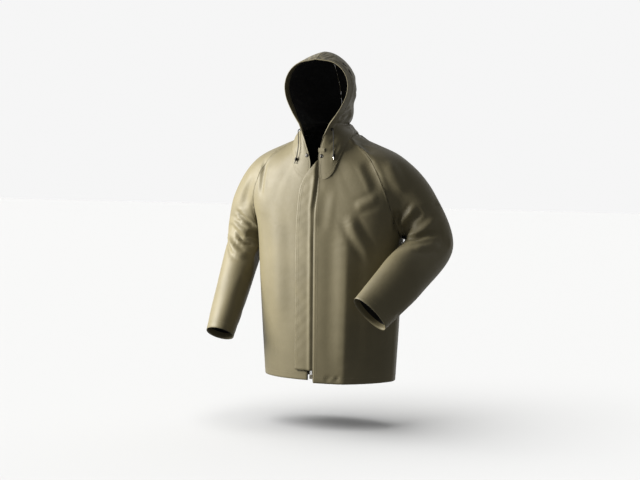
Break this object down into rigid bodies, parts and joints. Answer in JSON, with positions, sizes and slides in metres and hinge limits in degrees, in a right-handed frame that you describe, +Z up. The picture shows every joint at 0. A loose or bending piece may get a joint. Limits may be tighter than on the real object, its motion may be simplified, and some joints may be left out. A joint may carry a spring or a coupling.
{
  "type": "hooded waterproof work jacket",
  "caption": "Hooded waterproof work jacket of coated fabric with raglan sleeves, a zip under a storm flap, and a drawcord hood, held as if worn.",
  "frame": {"origin": "centre of the neck base, where the wearer's neck holds the jacket up", "axes": "+Z up along the body, the front faces -Y, +X is the wearer's left"},
  "size_m": [0.8161, 0.3828, 1.0995],
  "materials": {
    "shell_fabric": "satin coated fabric, olive drab",
    "dark_metal": "black-finished metal",
    "cord_lock_plastic": "matte",
    "drawcord": "braided",
    "webbing": "woven tape",
    "zip_tape": "woven tape",
    "zip_metal": "dulled nickel-plated brass",
    "stud_metal": "nickel plated"
  },
  "bodies": {
    "torso": {"back_panel": "shell_fabric", "front_panel_left": "shell_fabric", "front_panel_right": "shell_fabric", "neck_skirt_left": "shell_fabric", "neck_skirt_right": "shell_fabric", "hood_neck_band": "shell_fabric", "eyelet_left": "dark_metal", "eyelet_right": "dark_metal", "drawcord_left": "drawcord", "drawcord_right": "drawcord", "throat_snap_left": "dark_metal", "throat_snap_right": "dark_metal", "throat_tab": "shell_fabric", "hanger_loop": "webbing", "zip_tape_left": "zip_tape", "zip_tape_right": "zip_tape", "zip_teeth_left": "zip_metal", "zip_teeth_right": "zip_metal", "zip_top_stop_left": "zip_metal", "zip_top_stop_right": "zip_metal", "zip_bottom_box": "zip_metal", "flap_stud_1": "stud_metal", "flap_stud_2": "stud_metal", "flap_stud_3": "stud_metal", "flap_stud_4": "stud_metal"},
    "hood": {"hood_panel_left": "shell_fabric", "hood_panel_right": "shell_fabric", "drawcord_tunnel": "shell_fabric", "drawcord_middle": "drawcord"},
    "storm_flap": {"storm_flap": "shell_fabric", "flap_socket_1": "stud_metal", "flap_socket_2": "stud_metal", "flap_socket_3": "stud_metal", "flap_socket_4": "stud_metal"},
    "zip_slider": {"zip_slider": "zip_metal", "zip_pull": "zip_metal"},
    "cord_lock_left": {"cord_lock_left": "cord_lock_plastic"},
    "cord_lock_right": {"cord_lock_right": "cord_lock_plastic"},
    "upper_arm_left": {"upper_sleeve_left": "shell_fabric"},
    "forearm_left": {"forearm_sleeve_left": "shell_fabric", "cuff_facing_left": "shell_fabric"},
    "upper_arm_right": {"upper_sleeve_right": "shell_fabric"},
    "forearm_right": {"forearm_sleeve_right": "shell_fabric", "cuff_facing_right": "shell_fabric"}
  },
  "joints": [
    {"name": "left_shoulder", "type": "hinge", "parent": "torso", "child": "upper_arm_left", "pos_m": [0.258, 0, -0.175], "axis": [0, -1, 0], "range_deg": [0, 45], "deforming": ["upper_sleeve_left"]},
    {"name": "left_elbow", "type": "hinge", "parent": "upper_arm_left", "child": "forearm_left", "pos_m": [0.347, 0.039, -0.326], "axis": [-0.8085, 0.5555, -0.1944], "range_deg": [-45, 8]},
    {"name": "right_shoulder", "type": "hinge", "parent": "torso", "child": "upper_arm_right", "pos_m": [-0.258, 0, -0.175], "axis": [0, 1, 0], "range_deg": [0, 45], "deforming": ["upper_sleeve_right"]},
    {"name": "right_elbow", "type": "hinge", "parent": "upper_arm_right", "child": "forearm_right", "pos_m": [-0.331, 0.004, -0.326], "axis": [-0.8857, -0.4006, 0.2345], "range_deg": [-12, 34]},
    {"name": "hood_fold", "type": "hinge", "parent": "torso", "child": "hood", "pos_m": [0, 0.0868, 0.0668], "axis": [1, 0, 0], "range_deg": [-100, 0]},
    {"name": "flap_hinge", "type": "hinge", "parent": "torso", "child": "storm_flap", "pos_m": [0.0113, -0.1475, -0.4], "axis": [0, 0.0153, 0.9999], "range_deg": [0, 150]},
    {"name": "zip_travel", "type": "slide", "parent": "torso", "child": "zip_slider", "axis": [0, -0.0153, -0.9999], "range_m": [0, 0.615]},
    {"name": "left_cord_lock_travel", "type": "slide", "parent": "torso", "child": "cord_lock_left", "axis": [-0.1367, 0.2251, 0.9647], "range_m": [-0.008, 0.003]},
    {"name": "right_cord_lock_travel", "type": "slide", "parent": "torso", "child": "cord_lock_right", "axis": [0.2668, 0.08, 0.9604], "range_m": [-0.007, 0.006]}
  ]
}
